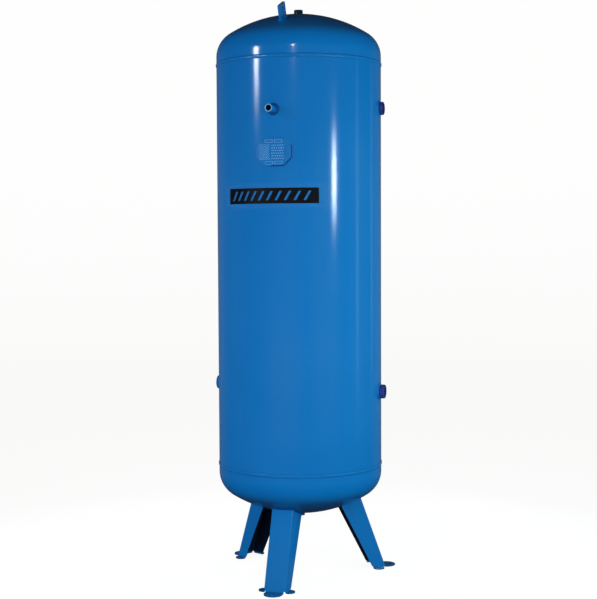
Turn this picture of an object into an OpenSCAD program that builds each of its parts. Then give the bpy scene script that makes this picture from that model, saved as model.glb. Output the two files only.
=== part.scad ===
// Vertical air receiver: a rolled and welded shell with two dished heads,
// three pressed channel legs, screwed sockets, a lifting lug and a data plate.
// The origin is on the vessel's axis at floor level, +Z is up and the front faces -Y.
// Azimuths are measured about the axis from the front, positive towards +X.

/* [Vessel] */
// Outside diameter of the shell
vessel_d = 600; // [500:10:760]
// Plate thickness of the shell and the heads
wall = 4; // [3:0.5:8]
// Distance between the two girth seams
seam_pitch = 1456; // [900:10:1900]
// Height of the lower girth seam above the floor
lower_seam_z = 410; // [380:1:520]
// Straight flange of each head
flange_h = 30; // [20:1:50]
// Crown radius of the heads as a share of the vessel's diameter
crown_share = 0.8; // [0.78:0.01:0.85]
// Knuckle radius of the heads as a share of the vessel's diameter
knuckle_share = 0.154; // [0.14:0.002:0.17]

/* [Seams] */
// Root gap between the plates, filled by the weld
root_gap = 2; // [1:0.5:4]
// Width of a seam's cap
cap_w = 13; // [8:0.5:20]
// Height of a seam's cap above the plate
cap_h = 2.5; // [1:0.25:4]
// Azimuth of the shell's long seam
long_seam_az = 180; // [150:1:210]

/* [Legs] */
// Distance of the web's outer face, where it meets the lower head, inside the shell's radius
leg_inset = 81; // [60:1:110]
// Distance by which the web's outer face stands further out at the floor than under the head
leg_splay = 101; // [60:1:140]
// Width of the web between its two corners
leg_web_w = 79; // [60:1:100]
// Sheet thickness of a leg
leg_sheet = 4; // [3:0.5:6]
// Inside radius of a leg's bends
leg_bend_r = 3; // [2:0.5:6]
// Angle through which each flank is bent from the web
leg_bend = 84; // [70:1:86]
// Depth of a flank under the head
leg_depth_top = 93; // [60:1:110]
// Depth of a flank at the floor
leg_depth_foot = 51; // [40:1:60]
// Length of the tab in front of the web
web_tab_l = 46; // [42:1:70]
// Length of the tab beside each flank
flank_tab_l = 24; // [23:1:50]
// Diameter of the anchor hole in the web's tab
anchor_d = 14; // [8:1:20]
// Distance of the anchor hole from the tab's end
anchor_inset = 21; // [15:1:28]
// Size of the bead that joins a leg to the head
leg_bead = 5; // [3:0.5:8]

/* [Side sockets] */
// Outside diameter of the two lower side sockets
lower_socket_d = 50.5; // [47:0.5:56]
// Outside diameter of the upper side socket
upper_socket_d = 47.5; // [46:0.5:56]
// Bore of the side sockets, the minor diameter of G 1 1/4
side_bore = 38.95; // [30:0.05:40]
// Projection of the lower side sockets from the shell
lower_reach = 23; // [15:1:40]
// Projection of the upper side socket from the shell
upper_reach = 18; // [12:1:40]
// Distance of the lower right socket above the lower seam
lower_right_rise = 271; // [60:1:500]
// Distance of the lower left socket above the lower seam
lower_left_rise = 287; // [60:1:500]
// Distance of the upper right socket below the upper seam
upper_right_drop = 164; // [60:1:380]

/* [Small sockets] */
// Bore of the small sockets, the minor diameter of G 1/2
small_bore = 18.6; // [14:0.1:20]
// Outside diameter of the relief and drain sockets
small_socket_d = 32; // [27:0.5:36]
// Projection of the relief socket above the crown
relief_reach = 19; // [12:1:45]
// Projection of the drain socket below the crown
drain_reach = 18; // [12:1:40]
// Outside diameter of the gauge nipple
nipple_d = 26.5; // [24:0.5:34]
// Projection of the gauge nipple from the shell
nipple_reach = 55; // [40:1:100]
// Distance of the gauge nipple below the upper seam
nipple_drop = 184; // [60:1:240]
// Length that every socket stands inside the vessel
inside_reach = 5; // [2:1:15]
// Edge break on the mouth of every socket
mouth_chamfer = 1.2; // [0.5:0.1:2]
// Leg length of the fillet weld around a socket
socket_fillet = 5; // [3:0.5:8]
// Leg length of the fillet weld around the gauge nipple
nipple_fillet = 8; // [4:0.5:10]

/* [Lifting lug] */
// Distance of the lug's foot inside the shell's radius
lug_inset = 113; // [90:1:140]
// Width of the lug
lug_w = 68; // [50:1:90]
// Height of the lug above the head
lug_h = 51; // [42:1:100]
// Thickness of the lug
lug_t = 8; // [6:1:14]
// Radius of the lug's upper corners
lug_corner_r = 6; // [3:1:25]
// Diameter of the lifting eye
eye_d = 24; // [16:1:26]
// Distance of the lifting eye from the lug's top edge
eye_inset = 24; // [20:1:26]
// Size of the bead along the lug's foot
lug_bead = 6; // [3:0.5:9]

/* [Data plate] */
// Width of the data plate along the shell
plate_w = 135; // [80:1:180]
// Height of the data plate
plate_h = 100; // [60:1:140]
// Cut of the data plate's corners
plate_cut = 30; // [5:1:40]
// Thickness of the data plate
plate_t = 1.2; // [0.8:0.1:2]
// Distance of the data plate's centre below the upper seam
plate_drop = 330; // [280:1:380]
// Head diameter of the rivets
rivet_d = 7; // [4:0.5:10]
// Height of the rivet heads
rivet_h = 1.8; // [1:0.1:3]
// Diameter of the rivet shanks
rivet_shank_d = 3.2; // [2:0.1:3.8]
// Distance of the rivets from the plate's upper and lower edges
rivet_inset = 10; // [7:0.5:15]

/* [Label] */
// Height of the clear film
film_h = 86; // [60:1:120]
// Azimuth of the film's left end
film_left_az = -43; // [-60:1:-38]
// Azimuth of the film's right end
film_right_az = 39; // [31:1:60]
// Height of the printed band
band_h = 54; // [30:1:80]
// Azimuth of the printed band's left end
band_left_az = -37; // [-42:1:-20]
// Azimuth of the printed band's right end
band_right_az = 30; // [10:1:38]
// Distance of the label's centre below the upper seam
label_drop = 480; // [440:1:700]
// Thickness of the film and of the band
film_t = 0.3; // [0.2:0.1:0.6]

/* [Fits] */
// Clearance where curved pieces lie against each other
seat_gap = 0.3; // [0.1:0.05:0.5]
// Clearance under and between the label's layers
film_gap = 0.1; // [0.05:0.05:0.2]

/* [Hidden] */
$fn = 96;
// Facets round the vessel's own surfaces
vessel_fn = 360;

// Colours
paint = "#1f6fb8";
weld_paint = "#2a78bd";
band_black = "#15171a";
film_clear = [0.85, 0.9, 0.95, 0.35];

// Directions about the axis
front_az = 0;
right_az = 90;
left_az = -90;
leg_step = 120;

// Vessel
vessel_r = vessel_d / 2;
crown_r = crown_share * vessel_d;
knuckle_r = knuckle_share * vessel_d;
knuckle_x = vessel_r - knuckle_r;
crown_drop = sqrt(pow(crown_r - knuckle_r, 2) - pow(knuckle_x, 2));
head_depth = crown_r - crown_drop;
join_angle = asin(knuckle_x / (crown_r - knuckle_r));
upper_seam_z = lower_seam_z + seam_pitch;
lower_tangent_z = lower_seam_z - flange_h;
upper_tangent_z = upper_seam_z + flange_h;
top_crown_z = upper_tangent_z + head_depth;
bottom_crown_z = lower_tangent_z - head_depth;
lower_centre_z = bottom_crown_z + crown_r;
upper_centre_z = top_crown_z - crown_r;
// Heights above the floor of what stands on the shell
lower_right_z = lower_seam_z + lower_right_rise;
lower_left_z = lower_seam_z + lower_left_rise;
upper_right_z = upper_seam_z - upper_right_drop;
nipple_z = upper_seam_z - nipple_drop;
plate_z = upper_seam_z - plate_drop;
label_z = upper_seam_z - label_drop;

// Size of cutters that reach past everything, and their margin beyond a face
far = 2 * vessel_d;
over = 1;

// Thickness of a fillet weld's upper toe as a share of its leg
toe_share = 1 / 6;

// Legs
leg_top_r = vessel_r - leg_inset;
leg_foot_r = leg_top_r + leg_splay;
leg_top_z = lower_centre_z - sqrt(pow(crown_r, 2) - pow(leg_top_r, 2));
leg_lean = atan((leg_foot_r - leg_top_r) / leg_top_z);
leg_l = leg_top_z / cos(leg_lean) + leg_depth_top;
outer_bend_r = leg_bend_r + leg_sheet;
bend_steps = 10;
bend_setback = outer_bend_r * tan(leg_bend / 2);
flat_web_w = leg_web_w - 2 * bend_setback;
flank_turn = atan(tan(leg_bend) / cos(leg_lean));
flank_tilt = asin(cos(leg_bend) * sin(leg_lean));
corner_lean = asin(sin(leg_lean) * sin(flank_turn));
foot_cut_z = outer_bend_r + over;
// The tabs rise into the channel by over and stand back from its faces by tab_step.
// The web's tab ends short of the bends by tab_relief.
tab_step = 0.05;
tab_relief = 0.5;
tab_rise_z = foot_cut_z + over;

// Lifting lug
lug_r = vessel_r - lug_inset;
lug_lean = asin(lug_r / crown_r);

// Part of a plane outline that lies between two directions from a centre, in degrees
module sector(reach, a0, a1) {
    mid = (a0 + a1) / 2;
    polygon([
        [0, 0],
        reach * [cos(a0), sin(a0)],
        2 * reach * [cos(mid), sin(mid)],
        reach * [cos(a1), sin(a1)]
    ]);
}

// Half outline of a dished head above its tangent line, moved outwards by grow
module head_outline(grow = 0) {
    rise = 90 - join_angle;
    intersection() {
        translate([0, -crown_drop]) circle(r = crown_r + grow);
        polygon([
            [0, 0],
            [knuckle_x, 0],
            [knuckle_x + far * cos(rise), far * sin(rise)],
            [0, far]
        ]);
    }
    intersection() {
        translate([knuckle_x, 0]) circle(r = knuckle_r + grow);
        translate([knuckle_x, 0]) sector(far, 0, rise);
    }
}

// Solid of revolution inside a head's surface, with a straight part of height skirt
module head_solid(grow, skirt) {
    rotate_extrude($fn = vessel_fn) {
        head_outline(grow);
        translate([0, -skirt]) square([vessel_r + grow, skirt]);
    }
}

// One head with its inside hollow, standing on its tangent plane
module head() {
    difference() {
        head_solid(0, flange_h - root_gap / 2);
        head_solid(-wall, flange_h + over);
        cylinder(d = small_socket_d + 2 * seat_gap, h = far);
    }
}

// Outline of a seam's section: the filled root and the cap, with x measured out of the plate
module seam_section() {
    cap_r = (pow(cap_w / 2, 2) + pow(cap_h, 2)) / (2 * cap_h);
    translate([-wall, -root_gap / 2]) square([wall, root_gap]);
    intersection() {
        translate([cap_h - cap_r, 0]) circle(r = cap_r);
        translate([0, -cap_w]) square([cap_w, 2 * cap_w]);
    }
}

// Puts children, which stand on +Z, on the shell at an azimuth and a height
module at_side(az, z) {
    translate([0, 0, z]) rotate([90, 0, az]) children();
}

// Screwed socket that stands through a wall whose outer face is at the given radius
module socket(face, d, bore, reach) {
    foot = face - wall - inside_reach;
    mouth = face + reach;
    flank = mouth - mouth_chamfer;
    difference() {
        union() {
            translate([0, 0, foot]) cylinder(d = d, h = flank - foot);
            translate([0, 0, flank])
                cylinder(d1 = d, d2 = d - 2 * mouth_chamfer, h = mouth_chamfer);
        }
        translate([0, 0, foot - over]) cylinder(d = bore, h = mouth - foot + 2 * over);
        translate([0, 0, flank])
            cylinder(d1 = bore, d2 = bore + 2 * mouth_chamfer, h = mouth_chamfer);
    }
}

// Fillet weld around a socket, before the wall is cut away from its foot
module fillet(face, d, leg) {
    buried = 2 * over + wall / 2;
    blunt = toe_share * leg;
    difference() {
        translate([0, 0, face - buried])
            cylinder(d1 = d + 2 * (leg + buried), d2 = d + 2 * blunt, h = leg - blunt + buried);
        translate([0, 0, face - far / 2]) cylinder(d = d, h = far);
    }
}

module side_socket(az, z, d, bore, reach) {
    color(paint) at_side(az, z) socket(vessel_r, d, bore, reach);
}

module side_fillet(az, z, d, leg) {
    color(weld_paint) difference() {
        at_side(az, z) fillet(vessel_r, d, leg);
        translate([0, 0, z - far / 2]) cylinder(r = vessel_r, h = far, $fn = vessel_fn);
    }
}

// Points along an arc round a centre
function arc(centre, r, a0, a1) =
    [for (i = [0 : bend_steps]) centre + r * [cos(a0 + (a1 - a0) * i / bend_steps),
                                              sin(a0 + (a1 - a0) * i / bend_steps)]];

function reversed(points) = [for (i = [len(points) - 1 : -1 : 0]) points[i]];

// Right half of one face of the bent section, from the web to the flank's end
function half_face(r) =
    let (centre = [leg_web_w / 2 - bend_setback, outer_bend_r],
         turn = leg_bend - 90,
         reach = leg_depth_top + outer_bend_r)
    concat(arc(centre, r, -90, turn),
           [centre + r * [cos(turn), sin(turn)] + reach * [cos(leg_bend), sin(leg_bend)]]);

// One face of the bent section, from the left flank's end to the right one's
function face(r) =
    let (half = half_face(r))
    concat(reversed([for (p = half) [-p.x, p.y]]), half);

// Section of a leg's channel: x across the web, y inwards from the web's outer face.
// Its outer side is moved outwards by grow.
module leg_section(grow = 0) {
    polygon(concat(face(outer_bend_r + grow), reversed(face(leg_bend_r))));
}

// Length of channel that runs up through the head, cut to the flanks' taper
module leg_channel(grow = 0) {
    taper = atan((leg_foot_r - leg_top_r + leg_depth_top - leg_depth_foot) / leg_top_z);
    difference() {
        translate([0, -leg_foot_r, 0]) rotate([-leg_lean, 0, 0])
            linear_extrude(height = leg_l) leg_section(grow);
        translate([0, leg_depth_foot - leg_foot_r, 0]) rotate([-taper, 0, 0])
            translate([-vessel_r, 0, -far / 2]) cube([vessel_d, far, far]);
    }
}

// Space inside the lower head's surface, moved outwards by grow
module lower_head_space(grow) {
    translate([0, 0, lower_tangent_z]) mirror([0, 0, 1]) head_solid(grow, far / 2);
}

// Tab bent outwards on to the floor from a wall that leans inwards by tilt.
// The wall's outer face meets the floor along the X axis, and outwards is -Y.
module foot_tab(w, l, tilt, hole) {
    rise = outer_bend_r - leg_bend_r * sin(tilt);
    centre = [rise * tan(tilt) - leg_bend_r * cos(tilt), outer_bend_r];
    up = (tab_rise_z - outer_bend_r) / cos(tilt) * [sin(tilt), cos(tilt)];
    inner = arc(centre, leg_bend_r, -90, -tilt);
    outer = arc(centre, outer_bend_r, -90, -tilt);
    top_in = inner[bend_steps] + up + leg_bend_r * tan(tilt) * [sin(tilt), cos(tilt)];
    top_out = outer[bend_steps] + up + outer_bend_r * tan(tilt) * [sin(tilt), cos(tilt)];
    end_y = w / 2 - l;
    difference() {
        intersection() {
            rotate([90, 0, 90]) translate([0, 0, -w / 2]) linear_extrude(height = w)
                polygon(concat([[-l, leg_sheet]], inner, [top_in, top_out],
                               reversed(outer), [[-l, 0]]));
            translate([0, 0, -over]) linear_extrude(height = far) {
                translate([-w / 2, end_y]) square([w, far]);
                translate([0, end_y]) circle(d = w);
            }
        }
        if (hole > 0) translate([0, anchor_inset - l, -over])
            cylinder(d = hole, h = leg_sheet + 2 * over);
    }
}

// One leg, standing at the front
module leg() {
    tab_start = bend_setback / cos(corner_lean) + tab_rise_z * tan(leg_lean) * sin(flank_turn);
    tab_w = leg_depth_foot - tab_start;
    difference() {
        leg_channel();
        lower_head_space(seat_gap);
        translate([-far, -far, foot_cut_z - far]) cube([2 * far, 2 * far, far]);
    }
    translate([0, tab_step - leg_foot_r, 0])
        foot_tab(flat_web_w - 2 * tab_relief, web_tab_l, leg_lean, anchor_d);
    for (side = [-1, 1])
        translate([side * leg_web_w / 2, -leg_foot_r, 0]) rotate([0, 0, side * flank_turn])
            translate([side * (tab_start + tab_w / 2), tab_step, 0])
                foot_tab(tab_w, flank_tab_l, flank_tilt, 0);
}

// Bead along the outer side of a leg's top edge
module leg_bead() {
    difference() {
        intersection() {
            leg_channel(leg_bead);
            lower_head_space(seat_gap + leg_bead);
        }
        leg_channel();
        lower_head_space(0);
    }
}

// Lug plate standing on the crown, with room for a foot bead when it grows
module lug_blank(grow = 0) {
    foot = crown_r - wall;
    straight = lug_h + wall - lug_corner_r;
    translate([0, 0, upper_centre_z]) rotate([lug_lean, 0, 0]) translate([0, 0, foot])
        rotate([90, 0, 90]) translate([0, 0, -lug_t / 2 - grow])
            linear_extrude(height = lug_t + 2 * grow) {
                translate([-lug_w / 2 - grow, 0]) square([lug_w + 2 * grow, straight]);
                translate([-lug_w / 2 + lug_corner_r, 0])
                    square([lug_w - 2 * lug_corner_r, lug_h + wall]);
                for (side = [-1, 1])
                    translate([side * (lug_w / 2 - lug_corner_r), straight]) circle(r = lug_corner_r);
            }
}

// Space inside the upper head's crown, moved outwards by grow
module upper_crown_space(grow) {
    translate([0, 0, upper_centre_z]) sphere(r = crown_r + grow, $fn = vessel_fn);
}

// Sheet that lies round the shell between two radii, cut by an outline seen from the front
module wrap(r0, r1) {
    intersection() {
        translate([0, 0, -far]) difference() {
            cylinder(r = r1, h = 2 * far);
            translate([0, 0, -over]) cylinder(r = r0, h = 2 * far + 2 * over);
        }
        rotate([90, 0, 0]) linear_extrude(height = far) children();
    }
}

module plate_outline() {
    w = plate_w / 2;
    h = plate_h / 2;
    c = plate_cut;
    polygon([[c - w, -h], [w - c, -h], [w, c - h], [w, h - c],
             [w - c, h], [c - w, h], [-w, h - c], [-w, c - h]]);
}

// Layer of the label that lies round the shell between two azimuths
module layer(r0, h, left_az, right_az) {
    translate([0, 0, label_z - h / 2]) rotate([0, 0, left_az - 90])
        rotate_extrude(angle = right_az - left_az) translate([r0, 0]) square([film_t, h]);
}

module shell() {
    h = seam_pitch - root_gap;
    color(paint) difference() {
        translate([0, 0, lower_seam_z + root_gap / 2]) difference() {
            cylinder(r = vessel_r, h = h);
            translate([0, 0, -over]) cylinder(r = vessel_r - wall, h = h + 2 * over);
        }
        rotate([0, 0, long_seam_az]) translate([-root_gap / 2, -far, 0]) cube([root_gap, far, far * 2]);
        at_side(right_az, upper_right_z) cylinder(d = upper_socket_d + 2 * seat_gap, h = far);
        at_side(right_az, lower_right_z) cylinder(d = lower_socket_d + 2 * seat_gap, h = far);
        at_side(left_az, lower_left_z) cylinder(d = lower_socket_d + 2 * seat_gap, h = far);
        at_side(front_az, nipple_z) cylinder(d = nipple_d + 2 * seat_gap, h = far);
    }
}

module top_head() {
    color(paint) translate([0, 0, upper_tangent_z]) head();
}

module bottom_head() {
    color(paint) translate([0, 0, lower_tangent_z]) mirror([0, 0, 1]) head();
}

module girth_seam(z) {
    color(weld_paint) translate([0, 0, z]) rotate_extrude()
        translate([vessel_r, 0]) seam_section();
}

module upper_seam_weld() {
    girth_seam(upper_seam_z);
}

module lower_seam_weld() {
    girth_seam(lower_seam_z);
}

module long_seam_weld() {
    start = lower_seam_z + cap_w / 2;
    color(weld_paint) difference() {
        rotate([0, 0, long_seam_az - 90]) translate([vessel_r, 0, start])
            linear_extrude(height = seam_pitch - cap_w) seam_section();
        translate([0, 0, start - over]) difference() {
            cylinder(r = vessel_r, h = seam_pitch);
            translate([0, 0, -over]) cylinder(r = vessel_r - 2 * wall, h = seam_pitch + 2 * over);
            rotate([0, 0, long_seam_az]) translate([-root_gap / 2, -far, -over])
                cube([root_gap, far, seam_pitch + 2 * over]);
        }
    }
}

module front_leg() {
    color(paint) leg();
}

module right_leg() {
    color(paint) rotate([0, 0, leg_step]) leg();
}

module left_leg() {
    color(paint) rotate([0, 0, -leg_step]) leg();
}

module front_leg_weld() {
    color(weld_paint) leg_bead();
}

module right_leg_weld() {
    color(weld_paint) rotate([0, 0, leg_step]) leg_bead();
}

module left_leg_weld() {
    color(weld_paint) rotate([0, 0, -leg_step]) leg_bead();
}

module lifting_lug() {
    color(paint) difference() {
        lug_blank();
        upper_crown_space(seat_gap);
        translate([0, 0, upper_centre_z]) rotate([lug_lean, 0, 0])
            translate([-far / 2, 0, crown_r + lug_h - eye_inset])
                rotate([0, 90, 0]) cylinder(d = eye_d, h = far);
    }
}

module lug_weld() {
    color(weld_paint) difference() {
        intersection() {
            lug_blank(lug_bead);
            upper_crown_space(seat_gap + lug_bead);
        }
        lug_blank();
        upper_crown_space(0);
    }
}

module relief_socket() {
    color(paint) socket(top_crown_z, small_socket_d, small_bore, relief_reach);
}

module relief_socket_weld() {
    color(weld_paint) difference() {
        fillet(top_crown_z, small_socket_d, socket_fillet);
        upper_crown_space(0);
    }
}

module gauge_nipple() {
    side_socket(front_az, nipple_z, nipple_d, small_bore, nipple_reach);
}

module gauge_nipple_weld() {
    side_fillet(front_az, nipple_z, nipple_d, nipple_fillet);
}

module upper_right_socket() {
    side_socket(right_az, upper_right_z, upper_socket_d, side_bore, upper_reach);
}

module upper_right_socket_weld() {
    side_fillet(right_az, upper_right_z, upper_socket_d, socket_fillet);
}

module lower_right_socket() {
    side_socket(right_az, lower_right_z, lower_socket_d, side_bore, lower_reach);
}

module lower_right_socket_weld() {
    side_fillet(right_az, lower_right_z, lower_socket_d, socket_fillet);
}

module lower_left_socket() {
    side_socket(left_az, lower_left_z, lower_socket_d, side_bore, lower_reach);
}

module lower_left_socket_weld() {
    side_fillet(left_az, lower_left_z, lower_socket_d, socket_fillet);
}

module drain_socket() {
    color(paint) translate([0, 0, lower_tangent_z]) mirror([0, 0, 1])
        socket(head_depth, small_socket_d, small_bore, drain_reach);
}

module drain_socket_weld() {
    color(weld_paint) difference() {
        translate([0, 0, lower_tangent_z]) mirror([0, 0, 1])
            fillet(head_depth, small_socket_d, socket_fillet);
        translate([0, 0, lower_centre_z]) sphere(r = crown_r, $fn = vessel_fn);
    }
}

// Where the rivets stand, seen from the front of the plate
module at_rivets() {
    for (side = [-1, 1], level = [-1, 1]) {
        az = side * asin((plate_w / 2 - plate_cut) / vessel_r);
        at_side(az, plate_z + level * (plate_h / 2 - rivet_inset)) children();
    }
}

module data_plate() {
    r0 = vessel_r + seat_gap;
    color(paint) difference() {
        translate([0, 0, plate_z]) wrap(r0, r0 + plate_t) plate_outline();
        at_rivets() cylinder(d = rivet_shank_d + seat_gap, h = far);
    }
}

module plate_rivets() {
    top = vessel_r + seat_gap + plate_t;
    head_r = (pow(rivet_d / 2, 2) + pow(rivet_h, 2)) / (2 * rivet_h);
    color(weld_paint) at_rivets() {
        translate([0, 0, vessel_r]) cylinder(d = rivet_shank_d, h = top + seat_gap - vessel_r);
        translate([0, 0, top + seat_gap]) intersection() {
            translate([0, 0, rivet_h - head_r]) sphere(r = head_r);
            cylinder(d = 2 * rivet_d, h = rivet_d);
        }
    }
}

module label_film() {
    color(film_clear) layer(vessel_r + film_gap, film_h, film_left_az, film_right_az);
}

module label_band() {
    color(band_black)
        layer(vessel_r + film_t + 2 * film_gap, band_h, band_left_az, band_right_az);
}

shell();
top_head();
bottom_head();
upper_seam_weld();
lower_seam_weld();
long_seam_weld();
front_leg();
right_leg();
left_leg();
front_leg_weld();
right_leg_weld();
left_leg_weld();
lifting_lug();
lug_weld();
relief_socket();
relief_socket_weld();
gauge_nipple();
gauge_nipple_weld();
upper_right_socket();
upper_right_socket_weld();
lower_right_socket();
lower_right_socket_weld();
lower_left_socket();
lower_left_socket_weld();
drain_socket();
drain_socket_weld();
data_plate();
plate_rivets();
label_film();
label_band();
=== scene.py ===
import math
import bmesh
import bpy
import numpy as np
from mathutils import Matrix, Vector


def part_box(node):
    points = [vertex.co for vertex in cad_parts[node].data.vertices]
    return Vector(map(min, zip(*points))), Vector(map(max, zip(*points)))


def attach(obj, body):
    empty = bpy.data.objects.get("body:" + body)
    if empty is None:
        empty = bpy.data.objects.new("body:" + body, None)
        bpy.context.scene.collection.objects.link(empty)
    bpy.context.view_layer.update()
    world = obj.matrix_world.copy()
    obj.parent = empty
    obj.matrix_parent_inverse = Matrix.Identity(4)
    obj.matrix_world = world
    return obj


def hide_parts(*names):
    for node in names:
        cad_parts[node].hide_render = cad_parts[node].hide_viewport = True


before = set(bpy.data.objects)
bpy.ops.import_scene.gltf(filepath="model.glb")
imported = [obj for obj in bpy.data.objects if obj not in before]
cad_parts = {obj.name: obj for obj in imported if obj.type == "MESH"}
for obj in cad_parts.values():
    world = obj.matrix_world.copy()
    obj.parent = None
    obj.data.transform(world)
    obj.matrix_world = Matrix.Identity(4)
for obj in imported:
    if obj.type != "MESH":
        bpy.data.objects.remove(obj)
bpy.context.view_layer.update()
scene = bpy.context.scene
mm = 0.001
fullTurn = 2 * math.pi

# Metres, with the origin on the vessel's axis at floor level. Azimuths turn about the axis from
# the front, -Y, towards +X.


def linearColour(hexText):  # sRGB hex to linear red, green, blue, alpha
    parts = [int(hexText[i:i + 2], 16) / 255 for i in (1, 3, 5)]
    return [c / 12.92 if c <= 0.04045 else ((c + 0.055) / 1.055) ** 2.4 for c in parts] + [1.0]


blend = {"data_type": "RGBA"}
smooth = {"interpolation_type": "SMOOTHSTEP"}
multiply, add = {"operation": "MULTIPLY"}, {"operation": "ADD"}


def addNode(tree, kind, settings=None, values=None, links=None):
    node = tree.nodes.new("ShaderNode" + kind)
    for name, value in (settings or {}).items():
        setattr(node, name, value)
    for name, value in (values or {}).items():
        node.inputs[name].default_value = value
    for name, source in (links or {}).items():  # a node stands for its first output
        if isinstance(source, bpy.types.Node):
            source = source.outputs[0]
        tree.links.new(source, node.inputs[name])
    return node


# Sockets that share a name are given by number: a Map Range reads from 1 to 2 and gives 3 to 4, each
# 0 to 1 unless it is set, and a colour Mix goes from 6 to 7 by the share 0.


def newMaterial(name, look, **details):
    # returns the material, its tree, Object coordinates and some noise patterns: details names the
    # look's size in mm for each one, with how fine its detail is
    material = bpy.data.materials.new(name)
    material.use_nodes = True
    tree = material.node_tree
    tree.nodes.clear()
    place = addNode(tree, "TexCoord").outputs["Object"]
    patterns = [addNode(tree, "TexNoise", {}, {"Scale": 1000 / look[size], "Detail": detail},
                        {"Vector": place}) for size, detail in details.items()]
    return material, tree, place, *patterns


# Stove-dried gloss enamel sprayed on steel plate: a deep even blue, a wet shine with a slight
# orange peel, and the long soft waves of rolled plate under it. Sizes are in mm.
# The look also holds painted shade: what faces up or down is darkened in specks.
enamelLook = dict(colour="#0c6fba", deep="#0a69b2", primer="#262c34", steel="#6e6a66",
                  roughness=0.11, roughSpread=0.04, cloud=260, peel=6, peelHeight=0.010,
                  wave=140, waveHeight=0.09, thin=0.5, thinFacing=(0.5, 0.97), speckle=0.8, dry=0.12,
                  chipZ=9, chipSize=7, chipEdge=(0.36, 0.40))


def sprayedEnamel(name, **changes):
    look = dict(enamelLook, **changes)
    material, tree, place, cloud, wave, peel, flakes = newMaterial(name, look, cloud=4, wave=1, peel=2,
                                                                   chipSize=6)
    waveBump = addNode(tree, "Bump", {}, {"Distance": look["waveHeight"] * mm}, {"Height": wave})
    peelBump = addNode(tree, "Bump", {}, {"Distance": look["peelHeight"] * mm},
                       {"Height": peel, "Normal": waveBump})
    tone = addNode(tree, "Mix", blend,
                   {6: linearColour(look["deep"]), 7: linearColour(look["colour"])}, {0: cloud})
    # painted shade: what faces up or down, such as the crowns of the heads, is darkened in specks
    # towards a dark grey, as if little light reached it
    normal = addNode(tree, "SeparateXYZ", {}, {}, {0: addNode(tree, "NewGeometry").outputs["Normal"]})
    level = addNode(tree, "Math", {"operation": "ABSOLUTE"}, {}, {0: normal.outputs[2]})
    upDownShadeByFacing = addNode(tree, "MapRange", {}, {1: look["thinFacing"][0], 2: look["thinFacing"][1],
                                            4: look["thin"]}, {0: level})
    speckle = addNode(tree, "MapRange", {}, {1: 0.35, 2: 0.65, 3: look["speckle"]}, {0: peel})
    share = addNode(tree, "Math", multiply, {}, {0: upDownShadeByFacing, 1: speckle})
    upDownShaded = addNode(tree, "Mix", blend, {7: linearColour(look["primer"])}, {0: share, 6: tone.outputs[2]})
    # the feet are chipped to the steel close to the floor
    height = addNode(tree, "SeparateXYZ", {}, {}, {0: place})
    low = addNode(tree, "MapRange", {}, {1: look["chipZ"] * mm, 2: 0.0}, {0: height.outputs[2]})
    worn = addNode(tree, "Math", multiply, {}, {0: low, 1: flakes})
    chip = addNode(tree, "MapRange", {}, {1: look["chipEdge"][0], 2: look["chipEdge"][1]}, {0: worn})
    colour = addNode(tree, "Mix", blend, {7: linearColour(look["steel"])}, {0: chip, 6: upDownShaded.outputs[2]})
    sheen = addNode(tree, "MapRange", {}, {1: 0.3, 2: 0.7, 3: look["roughness"],
                                           4: look["roughness"] + look["roughSpread"]},
                    {0: cloud})
    dry = addNode(tree, "MapRange", {}, {4: look["dry"]}, {0: share})
    rough = addNode(tree, "Math", add, {}, {0: sheen, 1: dry})
    shader = addNode(tree, "BsdfPrincipled", {}, {"IOR": 1.5},
                     {"Base Color": colour.outputs[2], "Roughness": rough, "Metallic": chip,
                      "Normal": peelBump})
    addNode(tree, "OutputMaterial", {}, {}, {0: shader})
    return material


def mottledSteel(name, look):  # a mottle mixes the colours and the roughness, over a finer relief
    material, tree, _, mottle, relief = newMaterial(name, look, mottle=look["detail"],
                                                    relief=look["reliefDetail"])
    share = addNode(tree, "MapRange", {}, {1: look["mix"][0], 2: look["mix"][1]}, {0: mottle})
    colour = addNode(tree, "Mix", blend,
                     {6: linearColour(look["colour"]), 7: linearColour(look["stain"])}, {0: share})
    rough = addNode(tree, "MapRange", {}, {3: look["rough"][0], 4: look["rough"][1]}, {0: mottle})
    bump = addNode(tree, "Bump", {}, {"Distance": look["height"] * mm}, {"Height": relief})
    shader = addNode(tree, "BsdfPrincipled", {}, {"Metallic": look["metallic"]},
                     {"Base Color": colour.outputs[2], "Roughness": rough, "Normal": bump})
    addNode(tree, "OutputMaterial", {}, {}, {0: shader})
    return material


# Hot-rolled plate inside the vessel: blue-grey mill scale with spots of brown rust, no shine.
millLook = dict(colour="#2b2c2f", stain="#4a3023", mottle=45, detail=8, mix=(0.5, 0.62), relief=2.5,
                reliefDetail=3, height=0.05, rough=(0.55, 0.85), metallic=0.3)
# Free-cutting steel, turned and tapped: grey metal with fine tool lines and a film of oil.
turnedLook = dict(colour="#35332f", stain="#5d6065", mottle=8, detail=5, mix=(0, 1), relief=0.5,
                  reliefDetail=1, height=0.01, rough=(0.3, 0.5), metallic=1.0)


# Clear polyester film with a pressure-sensitive back: nearly invisible, a little milky, with
# faint bubbles where it was rubbed down.
filmLook = dict(colour="#5aa0dc", alpha=(0.021, 0.039), bubble=9, bubbleHeight=0.02, rough=(0.12, 0.3))


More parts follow.
